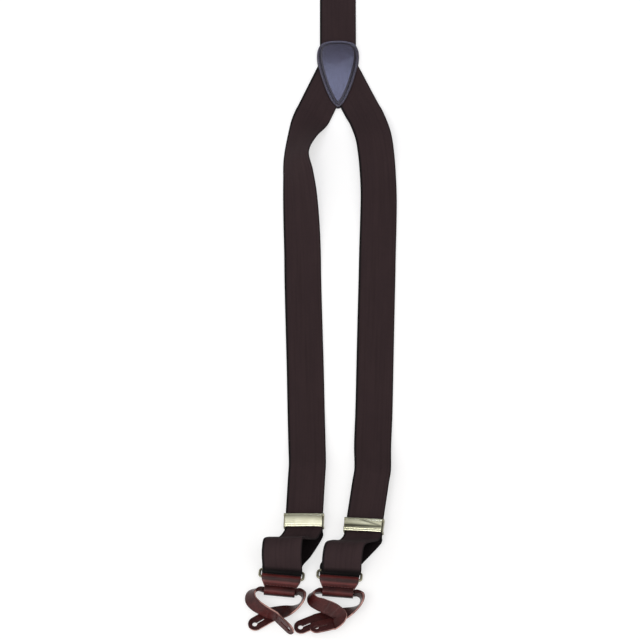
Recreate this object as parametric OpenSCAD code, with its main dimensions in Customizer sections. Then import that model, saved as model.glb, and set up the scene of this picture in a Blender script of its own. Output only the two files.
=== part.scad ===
// Y-back suspenders with button ends, laid out flat.
// Origin: underside centre of the back patch. +X and -X carry the two shoulder straps, +Y runs up the
// back strap, +Z points up out of the surface the suspenders lie on.

/* [Webbing] */
// width of the elastic webbing
web_w = 38; // [30:1:38]
// thickness of the elastic webbing
web_t = 1.2; // [0.8:0.1:1.2]

/* [Patch] */
// thickness of the back leather of the patch
patch_back_t = 1.6; // [1:0.1:1.6]
// thickness of the front leather of the patch
patch_front_t = 1.8; // [1:0.1:3]
// height of the padded middle of the front leather
pad_h = 1.2; // [0.2:0.1:3]
// length of each stitch
stitch_l = 2; // [1:0.1:2.2]

/* [Adjusters] */
// wall of the brass frame
brass_t = 1; // [0.6:0.1:1.4]
// length of the brass cover along the strap
cover_l = 14; // [10:0.5:14]
// radius of the lever pin
pin_r = 0.8; // [0.5:0.1:1]
// radius of the webbing bar
bar_r = 1; // [0.6:0.1:1]

/* [Leather ends] */
// radius of the ring wire
ring_r = 1.3; // [0.8:0.1:1.3]
// width of the ring between side wires
ring_w = 44; // [43:0.5:50]
// width of the tab over the ring
tab_w = 40; // [34:0.5:40]
// width of the tunnel at the foot of the tab
tunnel_w = 31; // [24:1:31]
// outer radius of the tunnel
tunnel_r = 5.2; // [4.8:0.1:5.4]
// width of each ear
ear_w = 15; // [12:0.5:16]
// thickness of each ear
ear_t = 2.2; // [1.4:0.1:2.4]
// radius of the round eyelet of each buttonhole
eyelet_r = 2.5; // [1.5:0.1:3]
// length of the slit of each buttonhole
slit_l = 11; // [8:0.5:12]
// number of stitches across each tab
tab_stitches = 9; // [5:1:12]

/* [Hidden] */
$fn = 48;
fold_y = -47;
bend_y = -250;
back_fold_y = 43;
bar_y = -8;
tunnel_y = -23.5;
tunnel_z = 1.8;
cord_r = 3;
bore_r = 3.3;

// Seats: centre, then yaw, roll and pitch of the local axes.
adj_l = [[-35, -526.5, 8.4], -3, 6, 0];
adj_r = [[25.5, -532.5, 9.8], -8, 10, 0];
end_l = [[-57, -581, 3.5], -6, 0, 0];
end_r = [[1, -582, 3.5], -5, 0, 0];
end_b = [[0, 292, 3.5], 180, 0, 0];

// Tunnel mouths, where the thong turns into an ear.
end_lm = mouth(end_l, -1);
end_ln = mouth(end_l, 1);
end_rm = mouth(end_r, -1);
end_rn = mouth(end_r, 1);
end_bm = mouth(end_b, 1);
end_bn = mouth(end_b, -1);

// Ear plates: where each flat buttonhole end starts.
plate_lf = [[-63, -635, 12.5], 44, 80, 0];
plate_lr = [[-68, -629.5, 2.2], -58, 5, 0];
plate_rf = [[-4, -641.5, 8.5], -76, 20, 0];
plate_rr = [[-21, -635, 2], -66, 4, 0];
plate_bf = [[16, 340, 2], 172, 0, 0];
plate_br = [[-16, 340, 2], 188, 0, 0];

web_c = [0.2, 0.15, 0.15];
leather_c = [0.35, 0.14, 0.13];
patch_c = [0.2, 0.16, 0.2];
brass_c = [0.72, 0.68, 0.42];
thread_c = [0.3, 0.14, 0.13];

// Routes. A stop is [x, y, z, yaw, roll, width], or [seat, y, z, width] in the axes of a seat.
left_upper = [
  [-24, -47.2, 2.3, 0, 0, 41.5],
  [-28, -57, 3.5, -20, 8, 38],
  [-37, -80, 9.5, -24, 30, 38],
  [-43.5, -108, 14.5, -8, 46, 38],
  [-41.5, -130, 11.8, 2, 36, 38],
  [-39.5, -155, 8.2, 3, 22, 38],
  [-38, -185, 4.6, 2, 10, 38],
  [-37, -215, 2, 1, 3, 38],
  [-36.5, -249.8, 0.8, 1, 0, 38]
];
left_lower = [
  [-36.5, -250.2, 0.8, 1, 0, 38],
  [-35.3, -300, 0.8, 1, 0, 38],
  [-34, -350, 0.8, 1, 0, 38],
  [-33, -400, 1, 1, 0, 38],
  [-32.2, -435, 3.5, 0, 3, 38],
  [adj_l, 64, 0, 38],
  [adj_l, 50, 0, 38],
  [adj_l, 36, 0, 38],
  [adj_l, 20, 0, 38],
  [adj_l, 5, 0, 38],
  [adj_l, -6.4, 0, 38]
];
left_slack = [
  [adj_l, -6.8, 0, 38],
  [adj_l, -11, 0.2, 38],
  [-41, -548, 12, -10, 12, 38],
  [-47.5, -551.5, 20, -14, 28, 38.5],
  [-53, -555.5, 28, -12, 22, 39],
  [-56, -560.5, 32, -9, 10, 40],
  [-57, -567.5, 31.5, -6, 4, 40],
  [-57.4, -574.5, 27, -5, 1, 40],
  [-57, -580, 19.5, -4, 0, 40],
  [-56.5, -583.5, 11.5, -4, 0, 40],
  [end_l, -2.2, 0, 40],
  [end_l, -1.6, -1.6, 40],
  [end_l, 0, -2.2, 40],
  [end_l, 9, -2.3, 40],
  [-47, -561, 2, -8, 2, 39],
  [adj_l, -17, -5.6, 38],
  [adj_l, -10, -5.3, 38],
  [adj_l, -7, -5.2, 38],
  [adj_l, -5.7, -4.7, 38],
  [adj_l, -5.15, -3.35, 38],
  [adj_l, -5.7, -2, 38],
  [adj_l, -7, -1.5, 38],
  [adj_l, -8.4, -1.9, 38],
  [adj_l, -10, -3.3, 38],
  [adj_l, -13, -3.9, 38],
  [adj_l, -17, -4.2, 38]
];
right_upper = [
  [25, -47.2, 2.3, 0, 0, 43.5],
  [30, -58, 4.5, 22, 0, 38],
  [36.5, -80, 8, 14, 0, 38],
  [39.5, -101, 7, 4, -4, 38],
  [41.2, -124, 5, 2, -8, 38],
  [42, -150, 4, 0, -8, 38],
  [41.5, -180, 2.5, -2, -4, 38],
  [40.5, -215, 1, -2, 0, 38],
  [39.7, -249.8, 0.8, -2, 0, 38]
];
right_lower = [
  [39.7, -250.2, 0.8, -2, 0, 38],
  [38.4, -300, 0.8, -2, 0, 38],
  [37.2, -350, 0.8, -1, 0, 38],
  [36, -400, 1, -3, 0, 38],
  [34.5, -440, 4.5, -5, 4, 38],
  [adj_r, 64, 0, 38],
  [adj_r, 50, 0, 38],
  [adj_r, 36, 0, 38],
  [adj_r, 20, 0, 38],
  [adj_r, 5, 0, 38],
  [adj_r, -6.4, 0, 38]
];
right_slack = [
  [adj_r, -6.8, 0, 38],
  [adj_r, -11, 0.2, 38],
  [22, -548.5, 11.5, -12, 14, 38],
  [17, -553.5, 16, -16, 26, 38.5],
  [11, -557, 21.5, -16, 22, 39],
  [6.5, -561, 25, -10, 10, 40],
  [4.5, -567, 25.5, -6, 4, 40],
  [3.4, -574, 22.5, -4, 1, 40],
  [2.8, -580, 17, -3, 0, 40],
  [2.5, -584, 10.5, -3, 0, 40],
  [end_r, -2.2, 0, 40],
  [end_r, -1.6, -1.6, 40],
  [end_r, 0, -2.2, 40],
  [end_r, 9, -2.3, 40],
  [12, -562, 2.6, -6, 3, 39],
  [adj_r, -17, -5.6, 38],
  [adj_r, -10, -5.3, 38],
  [adj_r, -7, -5.2, 38],
  [adj_r, -5.7, -4.7, 38],
  [adj_r, -5.15, -3.35, 38],
  [adj_r, -5.7, -2, 38],
  [adj_r, -7, -1.5, 38],
  [adj_r, -8.4, -1.9, 38],
  [adj_r, -10, -3.3, 38],
  [adj_r, -13, -3.9, 38],
  [adj_r, -17, -4.2, 38]
];
back_line = [
  [0, 43.2, 2.3, 180, 0, 38],
  [0, 60, 1.6, 180, 0, 38],
  [0, 80, 0.8, 180, 0, 38],
  [0, 140, 0.8, 180, 0, 38],
  [0, 200, 0.8, 180, 0, 38],
  [0, 250, 1, 180, 0, 38],
  [0, 262, 2.2, 180, 0, 38],
  [end_b, 18, -1, 38],
  [end_b, 8, 0.6, 38],
  [end_b, 3, 1.9, 38],
  [end_b, 0, 2.2, 38],
  [end_b, -1.6, 1.6, 38],
  [end_b, -2.2, 0, 38],
  [end_b, -1.6, -1.6, 38],
  [end_b, 0, -2.2, 38],
  [end_b, 4, -2.5, 38],
  [end_b, 12, -2.7, 38],
  [end_b, 24, -2.8, 38]
];

// Legs of the ears, from the tunnel's mouths to the flat plates.
leg_lf = [
  [end_lm, 0, 0, 5],
  [-80, -602.5, 6.5, -88, 70, 9],
  [-87, -607.5, 9.5, -46, 52, 14],
  [-88, -615.5, 11, 0, 48, 15],
  [-83, -623, 12.5, 30, 56, 15],
  [-74, -629.3, 13, 44, 70, 15],
  [plate_lf, 0, 0, 14.6],
  [plate_lf, -3, 0, 14.6]
];
leg_lr = [
  [end_ln, 0, 0, 5],
  [-39.5, -605, 6, 78, 84, 8],
  [-35, -610, 8, 30, 80, 12],
  [-37, -618, 8.5, -26, 72, 14],
  [-44, -623.5, 7, -60, 50, 15],
  [-54, -626, 3.8, -76, 18, 15],
  [plate_lr, 4, 0, 14.6],
  [plate_lr, 0, 0, 14.6],
  [plate_lr, -3, 0, 14.6]
];
leg_rf = [
  [end_rm, 0, 0, 5],
  [-20, -604.5, 6.5, -88, 80, 8],
  [-27, -609.5, 9.5, -40, 66, 13],
  [-25.5, -617.5, 12, 10, 50, 15],
  [-17, -623, 13, 44, 42, 15],
  [-6, -628.5, 13.5, 44, 40, 15],
  [1.5, -635, 11.5, 0, 30, 15],
  [plate_rf, 0, 0, 14.6],
  [plate_rf, -3, 0, 14.6]
];
leg_rr = [
  [end_rn, 0, 0, 5],
  [19, -606.8, 6, 80, 84, 8],
  [23.5, -611.5, 8, 30, 80, 12],
  [22, -619.5, 8.5, -22, 74, 14],
  [14.5, -625, 6.5, -58, 50, 15],
  [3, -629, 3.2, -72, 14, 15],
  [-9, -631.5, 2, -72, 5, 15],
  [plate_rr, 0, 0, 14.6],
  [plate_rr, -3, 0, 14.6]
];
leg_bf = [
  [end_bn, 0, 0, 5],
  [20, 316, 5.2, 96, 26, 8],
  [25, 320, 4.4, 130, 14, 12],
  [22.5, 330, 2.6, 170, 4, 15],
  [plate_bf, 2, 0, 14.6],
  [plate_bf, 0, 0, 14.6],
  [plate_bf, -3, 0, 14.6]
];
leg_br = [
  [end_bm, 0, 0, 5],
  [-20, 316, 5.2, 264, 26, 8],
  [-25, 320, 4.4, 230, 14, 12],
  [-22.5, 330, 2.6, 190, 4, 15],
  [plate_br, 2, 0, 14.6],
  [plate_br, 0, 0, 14.6],
  [plate_br, -3, 0, 14.6]
];

// Half outline of the patch, from its top down to its tip.
patch_side = [
  [0, 37.3], [10, 36.4], [17, 33.4], [20.8, 27], [21.8, 18], [20.9, 8], [18.6, -3], [15.6, -14],
  [12, -25], [7.4, -35.5], [3.4, -41.3], [0, -43]
];

// ---- helpers ----
function unit(v) = v / max(norm(v), 1e-9);
function ux(a) = [cos(a[1]) * cos(a[2]), sin(a[1]) * cos(a[2]), sin(a[2])];
function fy(a) = [-sin(a[1]), cos(a[1]), 0];
function fz(a) = cross(ux(a), fy(a));
function uy(a) = fy(a) * cos(a[3]) + fz(a) * sin(a[3]);
function uz(a) = fz(a) * cos(a[3]) - fy(a) * sin(a[3]);
function put(a, y, z) = a[0] + uy(a) * y + uz(a) * z;
function mouth(a, s) = [put(a, tunnel_y, tunnel_z) + ux(a) * s * 15.45, a[1] + s * 90, 80, 0];
function stop(s) = len(s) == 6 ? s : concat(put(s[0], s[1], s[2]), [s[0][1], s[0][2], s[3]]);
function route(r) = [for (s = r) stop(s)];
function spl(a, b, c, d, u) =
  0.5 * (2 * b + (c - a) * u + (2 * a - 5 * b + 4 * c - d) * u * u + (3 * b - a - 3 * c + d) * u * u * u);
function smooth(p, k) = concat(
  [for (i = [0 : len(p) - 2], j = [0 : k - 1])
    spl(p[max(i - 1, 0)], p[i], p[i + 1], p[min(i + 2, len(p) - 1)], j / k)],
  [p[len(p) - 1]]
);
function at(s) = [s[0], s[1], s[2]];
function wide(s) = [cos(s[3]) * cos(s[4]), sin(s[3]) * cos(s[4]), sin(s[4])];
function flip(p) = [for (i = [len(p) - 2 : -1 : 1]) [-p[i][0], p[i][1]]];
function ring_line(p, k) =
  let (n = len(p))
  [for (i = [0 : n - 1], j = [0 : k - 1])
    spl(p[(i + n - 1) % n], p[i], p[(i + 1) % n], p[(i + 2) % n], j / k)];

patch_line = ring_line(concat(patch_side, flip(patch_side)), 3);
function sized(a, b) = [for (q = patch_line) [q[0] * a, q[1] * b]];

module seat(a) {
  translate(a[0]) rotate([0, 0, a[1]]) rotate([0, -a[2], 0]) rotate([a[3], 0, 0]) children();
}

// A flat band along a route, with its thickness square to its face.
module band(r, t, k) {
  p = smooth(route(r), k);
  n = len(p);
  tan = [for (i = [0 : n - 1]) unit(at(p[min(i + 1, n - 1)]) - at(p[max(i - 1, 0)]))];
  up = [for (i = [0 : n - 1]) unit(cross(tan[i], wide(p[i])))];
  pts = [for (i = [0 : n - 1]) each [
    at(p[i]) - wide(p[i]) * p[i][5] / 2 - up[i] * t / 2,
    at(p[i]) + wide(p[i]) * p[i][5] / 2 - up[i] * t / 2,
    at(p[i]) + wide(p[i]) * p[i][5] / 2 + up[i] * t / 2,
    at(p[i]) - wide(p[i]) * p[i][5] / 2 + up[i] * t / 2
  ]];
  sides = [for (i = [0 : n - 2], j = [0 : 3]) each [
    [4 * i + j, 4 * i + 4 + j, 4 * i + 4 + (j + 1) % 4],
    [4 * i + j, 4 * i + 4 + (j + 1) % 4, 4 * i + (j + 1) % 4]
  ]];
  m = 4 * n - 4;
  polyhedron(pts, concat(sides, [[0, 1, 2], [0, 2, 3], [m, m + 2, m + 1], [m, m + 3, m + 2]]));
}

module rod(r, x0, x1) {
  translate([x0, 0, 0]) rotate([0, 90, 0]) cylinder(r = r, h = x1 - x0);
}

// ---- patch ----
module patch_back() {
  color(patch_c) linear_extrude(patch_back_t) polygon(sized(1.02, 1.01));
}
module patch_front() {
  z = patch_back_t + web_t + 0.2;
  color(patch_c) union() {
    translate([0, 0, z]) linear_extrude(patch_front_t) polygon(patch_line);
    for (i = [0 : 2])
      translate([0, 0, z + patch_front_t - 0.1])
        linear_extrude(pad_h * (i + 1) / 3 + 0.1)
        polygon(sized(0.8 - 0.06 * i, 0.87 - 0.04 * i));
  }
}
module patch_stitching() {
  z = patch_back_t + web_t + 0.2 + patch_front_t;
  n = len(patch_line);
  color(thread_c)
    for (i = [0 : n - 1]) {
      a = patch_line[i];
      b = patch_line[(i + 1) % n];
      if (norm(b - a) > 2.6)
        translate([(a[0] + b[0]) * 0.445, (a[1] + b[1]) * 0.465, z])
          rotate([0, 0, atan2(b[1] - a[1], b[0] - a[0])])
          translate([-stitch_l / 2, -0.35, 0.01]) cube([stitch_l, 0.7, 0.4]);
    }
}
module left_strap_root() {
  color(web_c) translate([0, 0, patch_back_t + 0.1]) linear_extrude(web_t)
    polygon([[-44.7, -46.8], [-3.3, -46.8], [-0.2, -39.5], [-0.2, 9.9], [-19.9, 9.9]]);
}
module right_strap_root() {
  color(web_c) translate([0, 0, patch_back_t + 0.1]) linear_extrude(web_t)
    polygon([[46.7, -46.8], [3.3, -46.8], [0.2, -39.5], [0.2, 9.9], [21.4, 9.9]]);
}
module back_strap_root() {
  color(web_c) translate([-19, 10.2, patch_back_t + 0.1]) cube([web_w, back_fold_y - 10.4, web_t]);
}

// ---- webbing ----
module back_strap() {
  color(web_c) band(back_line, web_t, 4);
}
module left_strap_upper() {
  color(web_c) band(left_upper, web_t, 5);
}
module left_strap_lower() {
  color(web_c) band(left_lower, web_t, 4);
}
module left_loop() {
  color(web_c) band(left_slack, web_t, 4);
}
module right_strap_upper() {
  color(web_c) band(right_upper, web_t, 5);
}
module right_strap_lower() {
  color(web_c) band(right_lower, web_t, 4);
}
module right_loop() {
  color(web_c) band(right_slack, web_t, 4);
}

// ---- adjusters, in seat axes: the strap runs along Y at z = 0 ----
module adjuster_frame() {
  difference() {
    union() {
      for (x = [-19.3 - brass_t, 19.3]) translate([x, 0, 0]) {
        translate([0, -8.4, -4.4]) cube([brass_t, 3, 5.4]);
        translate([0, -6, -2]) cube([brass_t, 12, 4]);
        translate([0, 4.4, 2.6]) rotate([0, 90, 0]) cylinder(r = 1.8, h = brass_t);
        translate([0, -7, -3.35]) rotate([0, 90, 0]) cylinder(r = 1.7, h = brass_t);
      }
      translate([-19.8, -3.5, -1.9]) cube([39.6, 9, 1]);
    }
    translate([0, -7, -3.35]) rod(bar_r + 0.04, -30, 30);
    translate([0, 4.4, 2.6]) rod(pin_r + 0.04, -30, 30);
  }
}
module adjuster_bar() {
  translate([0, -7, -3.35]) rod(bar_r, -20.5, 20.5);
}
module adjuster_pin() {
  translate([0, 4.4, 2.6]) rod(pin_r, -20.5, 20.5);
}
module adjuster_lever() {
  difference() {
    union() {
      translate([0, 4.4, 2.6]) rod(1.7, -19, 19);
      translate([-19, -1.2, 1.1]) cube([38, 5.6, 3.3]);
      intersection() {
        translate([0, -1.4, -12.6]) difference() {
          rod(18, -19, 19);
          rod(16.8, -30, 30);
        }
        translate([-19, 5.6 - cover_l, 2]) cube([38, cover_l, 5]);
      }
    }
    translate([0, 4.4, 2.6]) rod(pin_r + 0.08, -30, 30);
    for (x = [-16.5 : 3 : 16.5]) translate([x - 0.75, -1.3, 1]) cube([1.5, 1.6, 0.9]);
  }
}
module left_adjuster_frame() {
  color(brass_c) seat(adj_l) adjuster_frame();
}
module left_adjuster_bar() {
  color(brass_c) seat(adj_l) adjuster_bar();
}
module left_adjuster_pin() {
  color(brass_c) seat(adj_l) adjuster_pin();
}
module left_adjuster_lever() {
  color(brass_c) seat(adj_l) adjuster_lever();
}
module right_adjuster_frame() {
  color(brass_c) seat(adj_r) adjuster_frame();
}
module right_adjuster_bar() {
  color(brass_c) seat(adj_r) adjuster_bar();
}
module right_adjuster_pin() {
  color(brass_c) seat(adj_r) adjuster_pin();
}
module right_adjuster_lever() {
  color(brass_c) seat(adj_r) adjuster_lever();
}

// ---- leather ends, in seat axes: the ring's upper bar lies along X at the origin ----
module wire_ring() {
  c = 2.4;
  h = ring_w / 2;
  rod(ring_r, -h + c, h - c);
  translate([0, bar_y, 0]) rod(ring_r, -h + c, h - c);
  for (s = [-1, 1])
    translate([s * h, bar_y + c, 0]) rotate([-90, 0, 0]) cylinder(r = ring_r, h = -bar_y - 2 * c);
  for (q = [[1, -c, 0], [1, bar_y + c, -90], [-1, -c, 90], [-1, bar_y + c, 180]])
    translate([q[0] * (h - c), q[1], 0]) rotate([0, 0, q[2]])
      rotate_extrude(angle = 90) translate([c, 0]) circle(r = ring_r);
}
module tab() {
  difference() {
    intersection() {
      rotate([90, 0, 90]) translate([0, 0, -30]) linear_extrude(60) union() {
        translate([bar_y, 0]) circle(r = 3.4);
        polygon([[-8, 3.4], [-9.8, 2.9], [-12, 1.5], [-14.5, 0.5], [-20.5, 0.4], [-20.5, -3.4], [-8, -3.4]]);
        translate([tunnel_y, tunnel_z]) circle(r = tunnel_r);
      }
      linear_extrude(30, center = true) polygon([
        [-tab_w / 2, 0], [tab_w / 2, 0], [tab_w / 2, -9.5], [tunnel_w / 2 + 1, -16.5],
        [tunnel_w / 2, -19], [tunnel_w / 2, -30], [-tunnel_w / 2, -30], [-tunnel_w / 2, -19],
        [-tunnel_w / 2 - 1, -16.5], [-tab_w / 2, -9.5]
      ]);
    }
    translate([0, bar_y, 0]) rod(ring_r + 0.3, -40, 40);
    translate([0, tunnel_y, tunnel_z]) rod(bore_r, -40, 40);
  }
}
module tab_stitching() {
  for (i = [0 : tab_stitches - 1])
    translate([(i - (tab_stitches - 1) / 2) * 3.3 - stitch_l / 2, -17.4, 0.52]) cube([stitch_l, 0.7, 0.4]);
}
module thong() {
  translate([0, tunnel_y, tunnel_z]) rod(cord_r, -15.2, 15.2);
}
module plate() {
  difference() {
    union() {
      translate([-ear_w / 2, -18, -ear_t / 2]) cube([ear_w, 18, ear_t]);
      translate([0, -18, -ear_t / 2]) cylinder(r = ear_w / 2, h = ear_t);
    }
    translate([0, -19, -5]) cylinder(r = eyelet_r, h = 10);
    translate([-0.75, -19, -5]) cube([1.5, slit_l, 10]);
  }
}
module ear(r, a) {
  union() {
    band(r, ear_t - 0.2, 4);
    seat(a) plate();
  }
}
module left_ring() {
  color(brass_c) seat(end_l) wire_ring();
}
module left_tab() {
  color(leather_c) seat(end_l) tab();
}
module left_tab_stitching() {
  color(thread_c) seat(end_l) tab_stitching();
}
module left_thong() {
  color(leather_c) seat(end_l) thong();
}
module left_ear_front() {
  color(leather_c) ear(leg_lf, plate_lf);
}
module left_ear_rear() {
  color(leather_c) ear(leg_lr, plate_lr);
}
module right_ring() {
  color(brass_c) seat(end_r) wire_ring();
}
module right_tab() {
  color(leather_c) seat(end_r) tab();
}
module right_tab_stitching() {
  color(thread_c) seat(end_r) tab_stitching();
}
module right_thong() {
  color(leather_c) seat(end_r) thong();
}
module right_ear_front() {
  color(leather_c) ear(leg_rf, plate_rf);
}
module right_ear_rear() {
  color(leather_c) ear(leg_rr, plate_rr);
}
module back_ring() {
  color(brass_c) seat(end_b) wire_ring();
}
module back_tab() {
  color(leather_c) seat(end_b) tab();
}
module back_tab_stitching() {
  color(thread_c) seat(end_b) tab_stitching();
}
module back_thong() {
  color(leather_c) seat(end_b) thong();
}
module back_ear_front() {
  color(leather_c) ear(leg_bf, plate_bf);
}
module back_ear_rear() {
  color(leather_c) ear(leg_br, plate_br);
}

patch_back();
patch_front();
patch_stitching();
left_strap_root();
right_strap_root();
back_strap_root();
back_strap();
back_ring();
back_tab();
back_tab_stitching();
back_thong();
back_ear_front();
back_ear_rear();
left_strap_upper();
left_strap_lower();
left_adjuster_frame();
left_adjuster_bar();
left_adjuster_pin();
left_adjuster_lever();
left_loop();
left_ring();
left_tab();
left_tab_stitching();
left_thong();
left_ear_front();
left_ear_rear();
right_strap_upper();
right_strap_lower();
right_adjuster_frame();
right_adjuster_bar();
right_adjuster_pin();
right_adjuster_lever();
right_loop();
right_ring();
right_tab();
right_tab_stitching();
right_thong();
right_ear_front();
right_ear_rear();
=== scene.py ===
"""Suspenders laid out flat, seen from the button ends.

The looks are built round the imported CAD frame: webbing, leather, thread and lever covers are new
meshes, and the wire rings, frames, bars, pins and thongs are CAD nodes with a finish. Lines and
sections are given in millimetres, materials and lights in metres.
"""
import math

import bmesh
import bpy
import numpy as np
from mathutils import Matrix, Vector, noise


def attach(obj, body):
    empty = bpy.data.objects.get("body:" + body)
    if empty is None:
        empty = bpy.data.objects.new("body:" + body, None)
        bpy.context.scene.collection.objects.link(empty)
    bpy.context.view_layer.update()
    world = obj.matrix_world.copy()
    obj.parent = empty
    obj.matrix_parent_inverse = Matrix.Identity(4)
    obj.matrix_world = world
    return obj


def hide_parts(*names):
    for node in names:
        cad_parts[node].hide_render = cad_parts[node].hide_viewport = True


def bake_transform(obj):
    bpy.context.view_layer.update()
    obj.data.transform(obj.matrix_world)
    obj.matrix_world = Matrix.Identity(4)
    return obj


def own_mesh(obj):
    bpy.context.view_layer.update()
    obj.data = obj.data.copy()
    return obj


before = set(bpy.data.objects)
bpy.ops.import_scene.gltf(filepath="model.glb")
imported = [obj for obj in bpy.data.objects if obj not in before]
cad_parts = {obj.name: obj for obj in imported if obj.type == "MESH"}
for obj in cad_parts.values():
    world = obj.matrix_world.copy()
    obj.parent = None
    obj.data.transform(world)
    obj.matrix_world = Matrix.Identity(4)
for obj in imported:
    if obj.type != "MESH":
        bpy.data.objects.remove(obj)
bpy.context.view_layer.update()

MM = 0.001

# ---------------------------------------------------------------- camera, light and floor
TARGET = Vector((-0.0189, -0.2939, 0.0))  # the floor under the middle of the picture
SLOPE = math.radians(62)  # the camera looks down this steeply
DISTANCE = 6.0
FOCAL_LENGTH = 328.6
cam = bpy.data.objects.new("camera", bpy.data.cameras.new("camera"))
bpy.context.scene.collection.objects.link(cam)
cam.location = TARGET + DISTANCE * Vector((0, -math.cos(SLOPE), math.sin(SLOPE)))
cam.rotation_euler = (math.radians(90) - SLOPE, 0, 0)
cam.data.sensor_width = 36
cam.data.lens = FOCAL_LENGTH
cam.data.clip_end = 50
bpy.context.scene.camera = cam
bpy.context.scene.view_settings.view_transform = "Standard"


def node(nt, kind, *ins, **props):
    """A shader node with its inputs in order: a socket is linked, None is left alone."""
    n = nt.nodes.new("ShaderNode" + kind)
    for k, v in props.items():
        setattr(n, k, v)
    for i, v in enumerate(ins):
        if isinstance(v, bpy.types.NodeSocket):
            nt.links.new(v, n.inputs[i])
        elif v is not None:
            n.inputs[i].default_value = v
    return n


def calc(nt, op, a, b=None, c=None):
    """One step of arithmetic."""
    return node(nt, "Math", a, b, c, operation=op).outputs[0]


def mix(nt, fac, a, b):
    """Two colours mixed; inputs 0, 6 and 7 of the node are its factor and its colours."""
    n = nt.nodes.new("ShaderNodeMix")
    n.data_type = "RGBA"
    for i, v in ((0, fac), (6, a), (7, b)):
        if isinstance(v, bpy.types.NodeSocket):
            nt.links.new(v, n.inputs[i])
        else:
            n.inputs[i].default_value = (*v, 1) if isinstance(v, tuple) else v
    return n.outputs[2]


def fit(nt, v, a, b, c, d, smooth=False):
    """Map a to b onto c to d, held at the ends."""
    n = node(nt, "MapRange", v, a, b, c, d)
    if smooth:
        n.interpolation_type = "SMOOTHSTEP"
    return n.outputs[0]


def fuzz(nt, vector, scale, detail=3.0, rough=0.55):
    """Noise between 0 and 1."""
    return node(nt, "TexNoise", vector, None, scale, detail, rough).outputs[0]


def stretched(nt, vector, x, y, z):
    """A vector scaled by axis."""
    n = node(nt, "Mapping", vector)
    n.inputs["Scale"].default_value = (x, y, z)
    return n.outputs[0]


def bumped(nt, height, strength, distance):
    """A normal from a height."""
    n = node(nt, "Bump", strength, distance)
    nt.links.new(height, n.inputs["Height"])
    return n.outputs[0]


def material(name, rough=0.5, metal=0.0, spec=0.5, coat=0.0, coat_rough=0.1, sheen=0.0):
    """A new material with its node tree and its Principled shader."""
    m = bpy.data.materials.new(name)
    m.use_nodes = True
    nt = m.node_tree
    nt.nodes.clear()
    out = nt.nodes.new("ShaderNodeOutputMaterial")
    sh = nt.nodes.new("ShaderNodeBsdfPrincipled")
    nt.links.new(sh.outputs[0], out.inputs[0])
    for k, v in (("Roughness", rough), ("Metallic", metal), ("Specular IOR Level", spec),
                 ("Coat Weight", coat), ("Coat Roughness", coat_rough), ("Sheen Weight", sheen)):
        sh.inputs[k].default_value = v
    return m, nt, sh


# the floor: pale paper that glows a little, so that shadows on it stay faint
FLOOR_Z = -0.0004
me = bpy.data.meshes.new("floor")
me.from_pydata([(-4, -4, 0), (4, -4, 0), (4, 5, 0), (-4, 5, 0)], [], [(0, 1, 2, 3)])
floor = bpy.data.objects.new("floor", me)
floor.location.z = FLOOR_Z
bpy.context.scene.collection.objects.link(floor)
m, nt, sh = material("floor_paper", rough=0.9, spec=0.1)
pos = node(nt, "TexCoord").outputs["Object"]
tone = mix(nt, fuzz(nt, pos, 9.0), (0.49, 0.49, 0.49), (0.51, 0.51, 0.51))
nt.links.new(tone, sh.inputs["Base Color"])
sh.inputs["Emission Color"].default_value = (1, 1, 1, 1)
sh.inputs["Emission Strength"].default_value = 0.54
me.materials.append(m)

# the sky that the metal and the leather mirror; way is the direction that a reflection looks in
world = bpy.data.worlds.new("studio")
bpy.context.scene.world = world
world.use_nodes = True
nt = world.node_tree
nt.nodes.clear()
out = nt.nodes.new("ShaderNodeOutputWorld")
bg = nt.nodes.new("ShaderNodeBackground")
nt.links.new(bg.outputs[0], out.inputs[0])
way = node(nt, "SeparateXYZ", node(nt, "TexCoord").outputs["Generated"]).outputs
# a dome that brightens overhead
sky = mix(nt, fit(nt, way[2], 0.5, 0.97, 0.0, 1.0), (0.33, 0.335, 0.33), (1.12, 1.12, 1.15))
# a dark card to the left, which stops short of the zenith
card = fit(nt, way[0], -0.37, -0.27, 0.0, 1.0, True)
card = calc(nt, "MAXIMUM", card, fit(nt, way[2], 0.935, 0.97, 0.0, 1.0))
sky = mix(nt, card, (0.12, 0.117, 0.10), sky)
# bright wings low down on both sides
wide = fit(nt, calc(nt, "ABSOLUTE", way[0]), 0.4, 0.62, 0.0, 1.0, True)
wings = calc(nt, "MULTIPLY", wide, fit(nt, way[2], 0.84, 0.66, 0.0, 1.0, True))
sky = mix(nt, wings, sky, (1.0, 0.99, 0.97))
# dim behind the object to the right, and bright on the camera's side
dim = calc(nt, "MULTIPLY", fit(nt, way[0], -0.11, -0.05, 0.0, 1.0, True),
           fit(nt, way[1], 0.2, 0.3, 0.0, 1.0, True))
sky = mix(nt, dim, sky, (0.27, 0.235, 0.225))
near = fit(nt, way[1], -0.1, -0.5, 0.0, 1.0, True)
nt.links.new(mix(nt, near, sky, (1.26, 1.25, 1.23)), bg.inputs[0])
bg.inputs[1].default_value = 1.0


def softbox(name, at, to, size, power, colour, spin=0.0):
    """A rectangular lamp that the camera doesn't see, turned by spin degrees about its own axis."""
    d = bpy.data.lights.new(name, "AREA")
    d.shape = "RECTANGLE"
    d.size, d.size_y = size
    d.energy = power
    d.color = colour
    o = bpy.data.objects.new(name, d)
    o.location = at
    aim = (Vector(to) - Vector(at)).to_track_quat("-Z", "Y").to_matrix()
    o.rotation_euler = (aim @ Matrix.Rotation(math.radians(spin), 3, "Z")).to_euler()
    o.visible_camera = False
    bpy.context.scene.collection.objects.link(o)


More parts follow.
